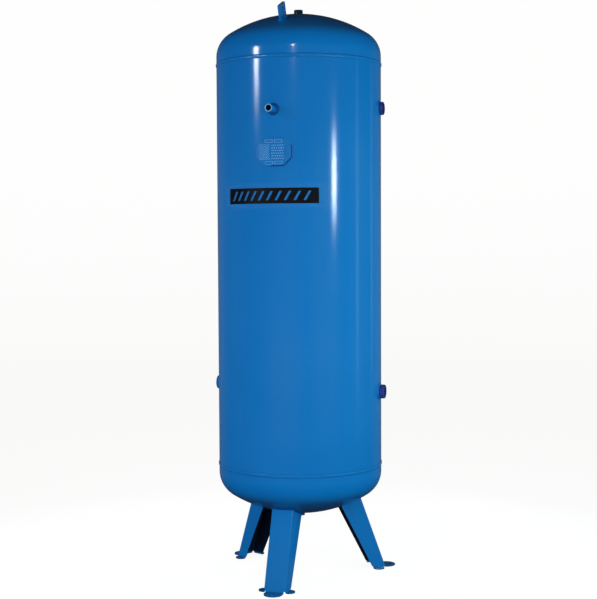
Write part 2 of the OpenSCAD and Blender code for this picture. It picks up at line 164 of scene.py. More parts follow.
def clearFilm(name, look):
    material, tree, _, bubble = newMaterial(name, look, bubble=2)
    milky = addNode(tree, "MapRange", {}, {1: 0.3, 2: 0.7, 3: look["alpha"][0], 4: look["alpha"][1]},
                    {0: bubble})
    rough = addNode(tree, "MapRange", {}, {3: look["rough"][0], 4: look["rough"][1]}, {0: bubble})
    bump = addNode(tree, "Bump", {}, {"Distance": look["bubbleHeight"] * mm}, {"Height": bubble})
    shader = addNode(tree, "BsdfPrincipled", {}, {"Base Color": linearColour(look["colour"]), "IOR": 1.57},
                     {"Alpha": milky, "Roughness": rough, "Normal": bump})
    addNode(tree, "OutputMaterial", {}, {}, {0: shader})
    return material


# Screen-printed black ink: dense, satin, with the faint weave that the screen leaves.
inkLook = dict(colour="#07080f", thin="#0d0f1a", weave=1.2, weaveHeight=0.008, fade=35,
               rough=(0.42, 0.55))


def printedInk(name, look):
    material, tree, place, fade = newMaterial(name, look, fade=5)
    weave = addNode(tree, "TexVoronoi", {}, {"Scale": 1000 / look["weave"]}, {"Vector": place})
    share = addNode(tree, "MapRange", {}, {1: 0.45, 2: 0.75}, {0: fade})
    colour = addNode(tree, "Mix", blend,
                     {6: linearColour(look["colour"]), 7: linearColour(look["thin"])}, {0: share})
    rough = addNode(tree, "MapRange", {}, {3: look["rough"][0], 4: look["rough"][1]}, {0: fade})
    bump = addNode(tree, "Bump", {}, {"Distance": look["weaveHeight"] * mm}, {"Height": weave})
    shader = addNode(tree, "BsdfPrincipled", {}, {"IOR": 1.5, "Specular IOR Level": 0.25},
                     {"Base Color": colour.outputs[2], "Roughness": rough, "Normal": bump})
    addNode(tree, "OutputMaterial", {}, {}, {0: shader})
    return material


enamel = sprayedEnamel("glossEnamelSprayed")
beadEnamel = sprayedEnamel("glossEnamelOnWeld", peel=3, peelHeight=0.02, wave=30)
plateEnamel = sprayedEnamel("enamelOnEmbossedPlate", wave=25, waveHeight=0.05, peel=4, roughness=0.16)
# a darker, violet blue than the shell, on the two right-hand sockets and in their bores
socketEnamel = sprayedEnamel("enamelDarkerVioletBlueSocket", colour="#2f45a0", deep="#1b2b6c", wave=30)
# painted shade: the relief socket on the top head is given a dark blue-grey that stands in for shade
reliefShadeEnamel = sprayedEnamel("enamelPaintedShadeOnReliefSocket", colour="#223047", deep="#141b28", wave=30)
# a darker enamel used as painted shade: on the seam toes, the beads round the gauge nipple and the legs,
# and along the data plate's lower right edge
creaseShadeEnamel = sprayedEnamel("enamelPaintedShadeDark", colour="#0a4b93", deep="#083f80", wave=30)
# a near-black blue used as painted shade inside the legs' channels
channelShadeEnamel = sprayedEnamel("enamelPaintedShadeInChannel", colour="#0a1f3a", deep="#070f1c", wave=30,
                           roughness=0.35)
# a pale blue: worn tops of the data plate's dots, and a painted highlight on the gauge nipple's lip
paleWearAndHighlightEnamel = sprayedEnamel("enamelScuffedPaleAndPaintedHighlight", colour="#86bdea", deep="#4f97d6", wave=30,
                              roughness=0.2)
bareInside = mottledSteel("millScalePlate", millLook)
tapped = mottledSteel("turnedSteelOiled", turnedLook)
film = clearFilm("clearPolyesterFilm", filmLook)
ink = printedInk("screenPrintedInk", inkLook)
print("materials made")


def gridFaces(rows, columns, closeRows=False, closeColumns=False):
    # corners of the quads between neighbouring points of a grid that is stored row by row
    row = np.arange(rows if closeRows else rows - 1)[:, None]
    column = np.arange(columns if closeColumns else columns - 1)[None, :]
    nextRow, nextColumn = (row + 1) % rows, (column + 1) % columns
    quads = [row * columns + column, row * columns + nextColumn,
             nextRow * columns + nextColumn, nextRow * columns + column]
    return np.stack(quads, -1).reshape(-1, 4)


def loopFaces(first, second):
    # quads between two closed loops of point numbers
    return np.stack([first, np.roll(first, -1), np.roll(second, -1), second], -1)


def gridRim(number):  # point numbers once round the edge of a grid
    return np.concatenate([number[0, :-1], number[:-1, -1], number[-1, :0:-1], number[:0:-1, 0]])


def onAxis(radius, azimuth, z):
    # a point at a radius from the vessel's axis: x = r sin a, y = -r cos a
    radius, azimuth, z = np.broadcast_arrays(radius, azimuth, z)
    return np.stack([radius * np.sin(azimuth), -radius * np.cos(azimuth), z], -1)


def directions(azimuth):  # level unit vectors: away from the vessel's axis, and round it
    return (np.array([math.sin(azimuth), -math.cos(azimuth), 0]),
            np.array([math.cos(azimuth), math.sin(azimuth), 0]))


def turnedPoints(foot, axes, r, h, angle):
    # foot + h axis + r (cos a across + sin a other), for rows of r and h and the angles round
    axis, across, other = axes
    return (foot + r[..., None] * (np.cos(angle)[:, None] * across
                                     + np.sin(angle)[:, None] * np.array(other)) + h[..., None] * axis)


def unit(vectors):
    return vectors / np.linalg.norm(vectors, axis=-1, keepdims=True)


def wave01(phase):  # smooth crest that repeats at each whole number, from 0 to 1
    return 0.5 - 0.5 * np.cos(fullTurn * phase)


def placePiece(mesh, sharp, nodes):
    # smooths a mesh but for its sharp edges, in degrees, and puts it in place of the frame's nodes
    mesh.shade_smooth()
    mesh.set_sharp_from_angle(angle=math.radians(sharp))
    piece = bpy.data.objects.new(mesh.name, mesh)
    scene.collection.objects.link(piece)
    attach(piece, "root")
    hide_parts(*nodes)
    return piece


def mergeMesh(mesh, distance, flat=0):
    # joins points that lie closer than a distance in mm, and faces that turn less than flat degrees
    work = bmesh.new()
    work.from_mesh(mesh)
    bmesh.ops.remove_doubles(work, verts=work.verts, dist=distance * mm)
    if flat:
        bmesh.ops.dissolve_limit(work, angle_limit=math.radians(flat), verts=work.verts, edges=work.edges)
    work.to_mesh(mesh)
    work.free()


def addPiece(name, points, faces, looks, nodes, second=None, sharp=32, merge=False):
    # a closed mesh from whole arrays; its faces are turned outwards by the sign of its volume.
    # second marks the faces that take the second material.
    points = np.asarray(points, float).reshape(-1, 3)
    corner = points[faces]
    volume = (np.cross(corner[:, 1], corner[:, 2]) * corner[:, 0]).sum()
    volume += (np.cross(corner[:, 2], corner[:, 3]) * corner[:, 0]).sum()
    if volume < 0:
        faces = faces[:, ::-1]
    mesh = bpy.data.meshes.new(name)
    mesh.from_pydata(points.tolist(), [], faces.tolist())
    for look in looks:
        mesh.materials.append(look)
    if second is not None:
        mesh.polygons.foreach_set("material_index", np.asarray(second, np.int32))
    if merge:
        mergeMesh(mesh, 0.001)
    placePiece(mesh, sharp, nodes)


def corners(node):
    lowest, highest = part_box(node)
    return np.array(lowest), np.array(highest)


# The vessel's places and sizes come from the frame.
vessel = dict(wall=4, flange=30, crownShare=0.8, knuckleShare=0.154, rootGap=2, seatGap=0.3,
              columns=360, rowPitch=20, portMargin=14, patchRings=5, arcSteps=44)
vesselR = corners("shell")[1][0]
wall = vessel["wall"] * mm
lowerSeamZ = np.mean([c[2] for c in corners("lower_seam_weld")])
upperSeamZ = np.mean([c[2] for c in corners("upper_seam_weld")])
crownR = 2 * vesselR * vessel["crownShare"]
knuckleR = 2 * vesselR * vessel["knuckleShare"]
knuckleX = vesselR - knuckleR
crownDrop = math.sqrt((crownR - knuckleR) ** 2 - knuckleX ** 2)
joinAngle = math.asin(knuckleX / (crownR - knuckleR))  # crown meets knuckle, from the axis
upperTangentZ = upperSeamZ + vessel["flange"] * mm
lowerTangentZ = lowerSeamZ - vessel["flange"] * mm
upperCentreZ = upperTangentZ - crownDrop  # centres of the two crown spheres
lowerCentreZ = lowerTangentZ + crownDrop


def headSide(grow, holeR, steps):
    # from the hole in the crown to the tangent line: a crown arc, then a knuckle arc
    crown = crownR + grow
    angle = np.linspace(math.asin(holeR / crown), joinAngle, steps)
    knuckle = np.linspace(joinAngle, math.pi / 2, steps)[1:]
    r = np.concatenate([crown * np.sin(angle), knuckleX + (knuckleR + grow) * np.sin(knuckle)])
    z = np.concatenate([crown * np.cos(angle) - crownDrop, (knuckleR + grow) * np.cos(knuckle)])
    return r, z


def dishedHead(name, node, tangentZ, side, socketNode):
    # surface of revolution of a closed profile: outside down to the seam, then inside back up
    lowest, highest = corners(socketNode)
    holeR = (highest[0] - lowest[0]) / 2 + vessel["seatGap"] * mm
    edgeZ = -(vessel["flange"] - vessel["rootGap"] / 2) * mm
    outR, outZ = headSide(0.0, holeR, vessel["arcSteps"])
    inR, inZ = headSide(-wall, holeR, vessel["arcSteps"] // 2)
    r = np.concatenate([outR, [vesselR, vesselR, vesselR - wall], inR[::-1]])
    z = np.concatenate([outZ, [edgeZ / 2, edgeZ, edgeZ], inZ[::-1]])
    azimuth = np.linspace(0, fullTurn, vessel["columns"], endpoint=False)
    points = onAxis(r[:, None], azimuth[None, :], tangentZ + side * z[:, None])
    faces = gridFaces(len(r), len(azimuth), True, True)
    inside = np.repeat(np.arange(len(r)) > len(outR) + 1, len(azimuth))
    addPiece(name, points, faces, [enamel, bareInside], [node], inside)


dishedHead("topHeadPlate", "top_head", upperTangentZ, 1, "relief_socket")
dishedHead("bottomHeadPlate", "bottom_head", lowerTangentZ, -1, "drain_socket")


def shellPlate():
    # a rolled sheet: columns run round from one side of the long seam to the other and rows run
    # up. Round each port a window is left out and filled by rings that turn from the hole's
    # circle to the window's edge.
    halfGap = vessel["rootGap"] / 2 * mm
    reach = math.pi * vesselR - halfGap
    along = np.linspace(-reach, reach, vessel["columns"] + 1)
    low, high = lowerSeamZ + halfGap, upperSeamZ - halfGap
    rows = int((high - low) / (vessel["rowPitch"] * mm))
    up = np.linspace(low, high, rows + 1)
    columns = len(along)
    sheet = [np.stack(np.meshgrid(along, up), -1).reshape(-1, 2)]
    keep = np.ones((rows, columns - 1), bool)
    cells = gridFaces(rows + 1, columns)
    patches, edges = [], []
    count = len(sheet[0])
    number = np.arange(count).reshape(rows + 1, columns)
    for node, turn in (("gauge_nipple", 0), ("upper_right_socket", 0.25),
                       ("lower_right_socket", 0.25), ("lower_left_socket", -0.25)):
        lowest, highest = corners(node)
        centre = np.array([turn * fullTurn * vesselR, (lowest[2] + highest[2]) / 2])
        holeR = (highest[2] - lowest[2]) / 2 + vessel["seatGap"] * mm
        half = holeR + vessel["portMargin"] * mm
        c0 = np.searchsorted(along, centre[0] - half) - 1
        c1 = np.searchsorted(along, centre[0] + half)
        r0 = np.searchsorted(up, centre[1] - half) - 1
        r1 = np.searchsorted(up, centre[1] + half)
        keep[r0:r1, c0:c1] = False
        rim = np.concatenate([number[r0, c0:c1], number[r0:r1, c1],
                              number[r1, c1:c0:-1], number[r1:r0:-1, c0]])
        rimPoints = sheet[0][rim]
        angle = np.arctan2(*(rimPoints - centre).T[::-1])
        hole = centre + np.stack([vesselR * np.arcsin(holeR * np.cos(angle) / vesselR),
                                  holeR * np.sin(angle)], -1)
        share = np.linspace(0, 1, vessel["patchRings"], endpoint=False)[:, None, None]
        sheet.append((hole + share * (rimPoints - hole)).reshape(-1, 2))
        rings = np.arange(vessel["patchRings"] * len(rim)).reshape(-1, len(rim)) + count
        count += rings.size
        levels = np.concatenate([rings, rim[None]])
        patches += [loopFaces(levels[i + 1], levels[i])[:, ::-1] for i in range(len(levels) - 1)]
        edges.append(rings[0][::-1])
    edges.append(gridRim(number))
    flat = np.concatenate(sheet)
    faces = np.concatenate([cells[keep.ravel()]] + patches)
    used = np.unique(faces)
    renumber = np.full(len(flat), -1)
    renumber[used] = np.arange(len(used))
    flat, faces = flat[used], renumber[faces]
    azimuth = flat[:, 0] / vesselR
    points = np.concatenate([onAxis(vesselR, azimuth, flat[:, 1]),
                             onAxis(vesselR - wall, azimuth, flat[:, 1])])
    inner = faces[:, ::-1] + len(flat)
    rims = [loopFaces(renumber[e], renumber[e] + len(flat))[:, ::-1] for e in edges]
    inside = np.concatenate([np.zeros(len(faces)), np.ones(len(inner) + sum(map(len, rims)))])
    addPiece("shellPlate", points, np.concatenate([faces, inner] + rims),
             [enamel, bareInside], ["shell"], inside)


shellPlate()
print("vessel made")


# The last number is how many faces at each toe are painted dark as shade.
seamLook = dict(width=13, height=2.5, pitch=3.2, steps=5, depth=0.22, lag=0.9, wander=0.5,
                waver=(31, 73, 117), section=15, flatness=3, shadedToeFaces=2)


def seamSection(along, look):
    # the seam's face: a low bead with a flat top, height (1 - a^flatness), crossed by crescent
    # ripples, with edges that wander a little
    across = np.sin(np.linspace(-math.pi / 2, math.pi / 2, look["section"]))
    crescent = along[:, None] / (look["pitch"] * mm) + look["lag"] * across ** 2
    arch = look["height"] * (1 - abs(across) ** look["flatness"])
    ripple = look["depth"] * wave01(crescent) * (1 - across ** 4)
    waver = sum(np.sin(along * f + i) for i, f in enumerate(look["waver"]))
    half = look["width"] / 2 + look["wander"] * waver / len(look["waver"])
    return across[None, :] * half[:, None] * mm, (arch - ripple) * mm


def seamSolid(name, node, along, place, closed):
    # the face over a root that fills the gap between the plates
    sideways, lift = seamSection(along, seamLook)
    gap = vessel["rootGap"] / 2 * mm
    root = np.array([[gap, 0.0], [gap, -wall], [-gap, -wall], [-gap, 0.0]])
    sideways = np.hstack([sideways, np.tile(root[:, 0], (len(along), 1))])
    lift = np.hstack([lift, np.tile(root[:, 1], (len(along), 1))])
    points = place(along[:, None], sideways, lift)
    faces = gridFaces(*sideways.shape, closed, True)
    if not closed:
        faces = np.concatenate([faces, endFans(*sideways.shape)])
    # the faces at each toe take the darker enamel, painted shade in the crease beside the bead
    column = np.arange(len(faces)) % sideways.shape[1]
    last = seamLook["section"] - 2
    shadedToe = (column < seamLook["shadedToeFaces"]) | ((column > last - seamLook["shadedToeFaces"]) & (column <= last))
    addPiece(name, points, faces, [beadEnamel, creaseShadeEnamel], [node], shadedToe, sharp=50)


def endFans(rows, columns):
    # quads that close the first and the last section, whose points run out and back
    out, back = np.arange(columns)[:columns // 2], np.arange(columns)[::-1][:columns // 2]
    fan = np.stack([out[:-1], out[1:], back[1:], back[:-1]], -1)
    return np.concatenate([fan, fan + (rows - 1) * columns])


def girthSeam(name, node, z):
    count = int(fullTurn * vesselR / (seamLook["pitch"] * mm)) * seamLook["steps"]
    along = np.linspace(0, fullTurn * vesselR, count, endpoint=False)
    seamSolid(name, node, along, lambda a, side, lift: onAxis(vesselR + lift, a / vesselR, z + side), True)


girthSeam("upperSeamBead", "upper_seam_weld", upperSeamZ)
girthSeam("lowerSeamBead", "lower_seam_weld", lowerSeamZ)

longLow, longHigh = corners("long_seam_weld")
longCount = int((longHigh[2] - longLow[2]) / (seamLook["pitch"] * mm)) * seamLook["steps"]
seamSolid("longSeamBead", "long_seam_weld", np.linspace(longLow[2], longHigh[2], longCount),
          lambda a, side, lift: onAxis(vesselR + lift, math.pi + side / vesselR, a), False)
print("seams made")


beadLook = dict(pitch=2.6, steps=5, depth=0.35, bulge=0.14, section=9, lag=0.5, endLeg=0.02)


def filletBead(name, node, root, alongWall, alongPiece, size, seat, closed=True, look=None):
    # between a toe on the wall and a toe on the piece the face swells by a sine and is crossed by
    # ripples; the root line closes the section
    step = np.linalg.norm(np.diff(root, axis=0, append=root[:1]), axis=1)
    travel = np.concatenate([[0], np.cumsum(step)[:-1]])
    total = travel[-1] + (step[-1] if closed else 0)
    pitch = total / max(1, round(total / (beadLook["pitch"] * mm)))
    leg = np.full(len(root), size * mm)
    if not closed:
        leg = leg * np.sqrt(np.clip(np.minimum(travel, total - travel) / (size * mm),
                                    beadLook["endLeg"], 1))
    share = np.linspace(0, 1, beadLook["section"])[None, :, None]
    wallToe = seat(root + leg[:, None] * alongWall)
    pieceToe = root + leg[:, None] * alongPiece
    face = wallToe[:, None] * (1 - share) + pieceToe[:, None] * share
    swell = np.sin(math.pi * share[..., 0])
    ripple = wave01(travel[:, None] / pitch + beadLook["lag"] * (2 * share[..., 0] - 1) ** 2)
    lift = swell * (beadLook["bulge"] * leg[:, None] - beadLook["depth"] * mm * ripple)
    face = face + lift[..., None] * unit(alongWall + alongPiece)[:, None]
    points = np.concatenate([face, root[:, None]], 1)
    faces = gridFaces(points.shape[0], points.shape[1], closed, True)
    if not closed:
        faces = np.concatenate([faces, endFans(*points.shape[:2])])
    addPiece(name, points, faces, [look or beadEnamel], [node], sharp=60)


def onShell(points):  # pushes points radially on to the shell's surface
    r = np.hypot(points[:, 0], points[:, 1])
    return np.stack([points[:, 0] * vesselR / r, points[:, 1] * vesselR / r, points[:, 2]], -1)


def onCrown(centreZ):  # pushes points on to a crown's sphere
    def seat(points):
        centre = np.array([0, 0, centreZ])
        return centre + crownR * unit(points - centre)
    return seat


def ringAngles(radius):
    ripples = round(fullTurn * radius / (beadLook["pitch"] * mm))
    return np.linspace(0, fullTurn, ripples * beadLook["steps"], endpoint=False)


# Whitworth pipe threads in the sockets: pitch and major diameter in mm. turn is a share of a full
# turn from the front, and up is 1 or -1 for a socket on the axis.
rightSocket = dict(turn=0.25, pitch=2.309, major=41.91, weld=5, rounding=3, paint=socketEnamel,
                   bore=socketEnamel)
socketLook = {
    # On the gauge nipple the pale lip is a painted highlight and the darker bead is painted shade.
    "gauge_nipple": dict(turn=0, pitch=1.814, major=20.955, weld=8, lip=paleWearAndHighlightEnamel, bead=creaseShadeEnamel),
    "upper_right_socket": rightSocket,
    "lower_right_socket": rightSocket,
    "lower_left_socket": dict(turn=-0.25, pitch=2.309, major=41.91, weld=5, rounding=3),
    "relief_socket": dict(up=1, pitch=1.814, major=20.955, weld=5, paint=reliefShadeEnamel),
    "drain_socket": dict(up=-1, pitch=1.814, major=20.955, weld=5),
}
socketShape = dict(chamfer=1.2, columns=96, rowsPerPitch=8, threadShare=0.6403, rounding=0.6, lip=0.2)


def socketSolid(name, node, look):
    # closed profile turned round the socket's axis. Inside, the radius follows the thread:
    # r = minor + depth * crest(height / pitch - angle / turn)
    lowest, highest = corners(node)
    if "up" in look:
        axis, across, other = np.array([0, 0, look["up"]]), np.array([1, 0, 0]), np.array([0, 1, 0])
        outerR = (highest[0] - lowest[0]) / 2
    else:
        axis, across = directions(look["turn"] * fullTurn)
        other = np.array([0, 0, 1])
        outerR = (highest[2] - lowest[2]) / 2
    length = abs((highest - lowest) @ axis)
    foot = (lowest + highest) / 2 - axis * length / 2
    chamfer = socketShape["chamfer"] * mm
    depth = socketShape["threadShare"] * look["pitch"] * mm
    minorR = look["major"] / 2 * mm - depth
    threadRows = int(length / (look["pitch"] * mm) * socketShape["rowsPerPitch"])
    threadH = np.linspace(length - chamfer, 0, threadRows)
    angle = np.linspace(0, fullTurn, socketShape["columns"], endpoint=False)
    quarter = np.linspace(0, math.pi / 2, 5)
    edge = look.get("rounding", socketShape["rounding"]) * mm
    outR = np.concatenate([[outerR, outerR], outerR - edge + edge * np.cos(quarter)])
    outH = np.concatenate([[0, length / 2], length - edge + edge * np.sin(quarter)])
    lipR, lipH = np.array([minorR + depth + socketShape["lip"] * mm]), np.array([length])
    thread = minorR + depth * wave01(threadH[:, None] / (look["pitch"] * mm) - angle / fullTurn)
    plain = np.concatenate([outR, lipR])[:, None] * np.ones(len(angle))
    r = np.concatenate([plain, thread])
    h = np.concatenate([outH, lipH, threadH])[:, None] * np.ones(len(angle))
    points = turnedPoints(foot, (axis, across, other), r, h, angle)
    faces = gridFaces(r.shape[0], r.shape[1], True, True)
    row = np.arange(r.shape[0])
    # paint up the side, the lip's finish over the end, and the bore's from the chamfer inwards
    finish = np.repeat(np.where(row > len(outR), 1, np.where(row >= 2, 2, 0)), len(angle))
    paint = look.get("paint", enamel)
    addPiece(name, points, faces, [paint, look.get("bore", tapped), look.get("lip", paint)],
             [node], finish, sharp=40)
    return axis, across, other, outerR


for node, look in socketLook.items():
    words = node.split("_")
    name = words[0] + "".join(w.capitalize() for w in words[1:])
    axis, across, other, outerR = socketSolid(name + "Turned", node, look)
    angle = ringAngles(outerR)
    ring = np.cos(angle)[:, None] * across + np.sin(angle)[:, None] * other
    if "up" in look:
        centreZ = upperCentreZ if look["up"] > 0 else lowerCentreZ
        root = outerR * ring + axis * math.sqrt(crownR ** 2 - outerR ** 2) + [0, 0, centreZ]
        normal = unit(root - [0, 0, centreZ])
        seat = onCrown(centreZ)
    else:
        lowest, highest = corners(node)
        middle = np.array([0, 0, (lowest[2] + highest[2]) / 2])
        reach = np.sqrt(vesselR ** 2 - (outerR * np.cos(angle)) ** 2)
        root = middle + outerR * ring + axis * reach[:, None]
        normal = unit(root * [1, 1, 0])
        seat = onShell
    away = unit(ring - (ring * normal).sum(1, keepdims=True) * normal)
    filletBead(name + "Bead", node + "_weld", root, away, np.tile(axis, (len(root), 1)),
               look["weld"], seat, look=look.get("bead"))
print("sockets made")


def roundedCopy(name, node, look, width, channel=None):
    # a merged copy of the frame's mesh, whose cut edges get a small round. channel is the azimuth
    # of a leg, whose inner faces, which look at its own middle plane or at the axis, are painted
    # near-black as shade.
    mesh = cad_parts[node].data.copy()
    mesh.name = name
    mergeMesh(mesh, 0.002, 0.5)
    mesh.materials.clear()
    mesh.materials.append(look)
    if channel is not None:
        # the second material is near-black, painted shade on the channel's inner faces
        mesh.materials.append(channelShadeEnamel)
        centre, normal = np.empty(3 * len(mesh.polygons)), np.empty(3 * len(mesh.polygons))
        mesh.polygons.foreach_get("center", centre)
        mesh.polygons.foreach_get("normal", normal)
        centre, normal = centre.reshape(-1, 3), normal.reshape(-1, 3)
        outward, sideways = directions(channel)
        side, turned = centre @ sideways, normal @ sideways
        inner = (normal @ outward < -legShape["webFacing"]) & (abs(turned) < legShape["flankFacing"])
        inner |= side * turned < -legShape["clear"] * mm
        inner &= centre[:, 2] > legShape["tabTop"] * mm
        mesh.polygons.foreach_set("material_index", inner.astype(np.int32))
    bevel = placePiece(mesh, 30, [node]).modifiers.new("edge", "BEVEL")
    bevel.width, bevel.segments, bevel.limit_method = width * mm, 2, "ANGLE"
    bevel.angle_limit = math.radians(40)
    bevel.harden_normals = True


# The bead on a leg follows the line where the channel's outer face meets the lower head.
legShape = dict(inset=81, splay=101, web=79, bend=84, outerR=7, depth=90, bead=7, tabTop=9,
                webFacing=0.35, flankFacing=0.5, clear=4, turns=dict(front=0, right=1, left=-1))
for side, turn in legShape["turns"].items():
    roundedCopy(side + "LegPressed", side + "_leg", enamel, 0.8, turn * fullTurn / 3)
roundedCopy("liftingLugCut", "lifting_lug", enamel, 0.5)


def lowerHeadZ(r):  # height of the lower head's surface at a radius
    crown = lowerCentreZ - np.sqrt(np.maximum(crownR ** 2 - r ** 2, 0))
    knuckle = lowerTangentZ - np.sqrt(np.maximum(knuckleR ** 2 - (r - knuckleX) ** 2, 0))
    return np.where(r < crownR * math.sin(joinAngle), crown, knuckle)


def lowerHeadNormal(points):  # outward normal of the lower head
    r = np.hypot(points[:, 0], points[:, 1])
    onCrownPart = r < crownR * math.sin(joinAngle)
    centreR = np.where(onCrownPart, 0, knuckleX)
    centreZ = np.where(onCrownPart, lowerCentreZ, lowerTangentZ)
    return unit(points - np.stack([points[:, 0] / r * centreR, points[:, 1] / r * centreR, centreZ], -1))


def legBead(name, node, turn):
    topR = vesselR - legShape["inset"] * mm
    footR = topR + legShape["splay"] * mm
    lean = math.atan2(footR - topR, lowerHeadZ(np.array(topR)))
    bend, bendR = math.radians(legShape["bend"]), legShape["outerR"] * mm
    half = legShape["web"] / 2 * mm - bendR * math.tan(bend / 2)
    # outline of the channel's outer face: half a web, a bend and a flank, by distance travelled
    spacing = beadLook["pitch"] / beadLook["steps"] * mm
    travel = np.arange(0, half + bendR * bend + legShape["depth"] * mm, spacing)
    turned = np.clip((travel - half) / bendR, 0, bend)
    flank = np.maximum(travel - half - bendR * bend, 0)
    x = np.minimum(travel, half) + bendR * np.sin(turned) + flank * math.cos(bend)
    y = bendR * (1 - np.cos(turned)) + flank * math.sin(bend)
    nx, ny = np.sin(turned), -np.cos(turned)
    x, y, nx, ny = (np.concatenate([s * v[:0:-1], v]) for s, v in ((-1, x), (1, y), (-1, nx), (1, ny)))
    up = np.array([0, math.sin(lean), math.cos(lean)])
    inward = np.array([0, math.cos(lean), -math.sin(lean)])
    start = np.array([0, -footR, 0]) + x[:, None] * [1, 0, 0] + y[:, None] * inward
    normal = nx[:, None] * [1, 0, 0] + ny[:, None] * inward
    low, high = np.zeros(len(x)), np.full(len(x), 1.0)
    for _ in range(40):  # halving finds where each line up the leg meets the head
        middle = (low + high) / 2
        p = start + middle[:, None] * up
        below = p[:, 2] < lowerHeadZ(np.hypot(p[:, 0], p[:, 1]))
        low, high = np.where(below, middle, low), np.where(below, high, middle)
    root = start + low[:, None] * up
    headNormal = lowerHeadNormal(root)
    away = unit(normal - (normal * headNormal).sum(1, keepdims=True) * headNormal)
    a = turn * fullTurn / 3
    spin = np.array([[math.cos(a), -math.sin(a), 0], [math.sin(a), math.cos(a), 0], [0, 0, 1]])
    sunk = root - vessel["seatGap"] * mm * headNormal
    # the bead takes the darker enamel, painted shade under the head
    filletBead(name, node, sunk @ spin.T, away @ spin.T,
               np.tile(-up, (len(x), 1)) @ spin.T, legShape["bead"], lambda p: p, False, creaseShadeEnamel)


for side, turn in legShape["turns"].items():
    legBead(side + "LegBead", side + "_leg_weld", turn)


lugShape = dict(inset=113, width=68, thick=8, corner=1.5, bead=6)


def lugBead():
    # round the lug's foot: a rounded rectangle laid on the crown's sphere
    lean = math.asin((vesselR - lugShape["inset"] * mm) / crownR)
    halfT, halfW = lugShape["thick"] / 2, lugShape["width"] / 2
    c = lugShape["corner"]
    quarter = np.linspace(0, math.pi / 2, 7)
    centres = [(t * (halfT - c), w * (halfW - c)) for t, w in ((1, 1), (-1, 1), (-1, -1), (1, -1))]
    angle = np.concatenate([quarter + i * math.pi / 2 for i in range(4)])
    centre = np.repeat(centres, len(quarter), axis=0)
    loop = centre + c * np.stack([np.cos(angle), np.sin(angle)], -1)
    step = np.linalg.norm(np.roll(loop, -1, axis=0) - loop, axis=1)
    travel = np.concatenate([[0], np.cumsum(step)])
    count = int(travel[-1] / beadLook["pitch"]) * beadLook["steps"]
    even = np.linspace(0, travel[-1], count, endpoint=False)
    x, y, nx, ny = (np.interp(even, travel, np.append(v, v[0])) for v in
                    (loop[:, 0], loop[:, 1], np.cos(angle), np.sin(angle)))
    across = np.array([1, 0, 0])
    axis = np.array([0, -math.sin(lean), math.cos(lean)])
    other = np.array([0, math.cos(lean), math.sin(lean)])
    flat = (x[:, None] * across + y[:, None] * other) * mm
    root = flat + np.sqrt(crownR ** 2 - (flat ** 2).sum(1, keepdims=True)) * axis + [0, 0, upperCentreZ]
    normal = unit(root - [0, 0, upperCentreZ])
    outward = unit(nx[:, None] * across + ny[:, None] * other)
    away = unit(outward - (outward * normal).sum(1, keepdims=True) * normal)
    filletBead("liftingLugBead", "lug_weld", root, away, np.tile(axis, (len(root), 1)),
               lugShape["bead"], onCrown(upperCentreZ))


lugBead()
print("legs and lug made")


def wrappedSlab(level, left, right, bottomR, lift, columns):
    # a thin closed sheet round the shell. Row by row it runs from left to right, both in mm along
    # the arc; lift(across, level) in mm is its thickness. Returns points and faces.
    share = np.linspace(0, 1, columns)[None, :]
    across = left[:, None] + share * (right - left)[:, None]
    rise = level[:, None] + 0 * across
    azimuth = across * mm / vesselR
    top = onAxis(bottomR + lift(across, rise) * mm, azimuth, rise * mm)
    under = onAxis(bottomR, azimuth, rise * mm)
    rows = len(level)
    number = np.arange(rows * columns).reshape(rows, columns)
    rim = gridRim(number)
    faces = gridFaces(rows, columns)
    sides = loopFaces(rim, rim + rows * columns)[:, ::-1]
    points = np.concatenate([top.reshape(-1, 3), under.reshape(-1, 3)])
    return points, np.concatenate([faces, faces[:, ::-1] + rows * columns, sides])


def joinSolids(solids):
    starts = np.cumsum([0] + [len(p) for p, f in solids[:-1]])
    return (np.concatenate([p for p, f in solids]),
            np.concatenate([f + s for (p, f), s in zip(solids, starts)]))


# The last two sizes place the band of painted shade along the plate's lower right edge.
plateLook = dict(width=135, height=100, cut=30, thick=0.9, raised=0.9, step=0.7, edge=1, rim=4.5,
                 halfField=27, dots=(-52, -14), dotPitch=8.4, dashes=(-8, 50), dashPitch=8,
                 dashRow=9, dashShift=3.7, box=(13, 4.5), boxCentre=(17, 37), boxLine=0.9,
                 scuffed=0.55, shadeWidth=5.5, shadeLine=38)
plateLow, plateHigh = corners("data_plate")
plateZ = (plateLow[2] + plateHigh[2]) / 2 / mm


def smoothStep(value, width):  # 0 below zero, 1 above width, eased between
    t = np.clip(value / width, 0, 1)
    return t * t * (3 - 2 * t)


def plateInset(x, z):  # distance inside the plate's outline with its cut corners, in mm
    look = plateLook
    corner = look["width"] / 2 + look["height"] / 2 - look["cut"] - abs(x) - abs(z)
    return np.minimum(np.minimum(look["width"] / 2 - abs(x), look["height"] / 2 - abs(z)),
                      corner / math.sqrt(2))


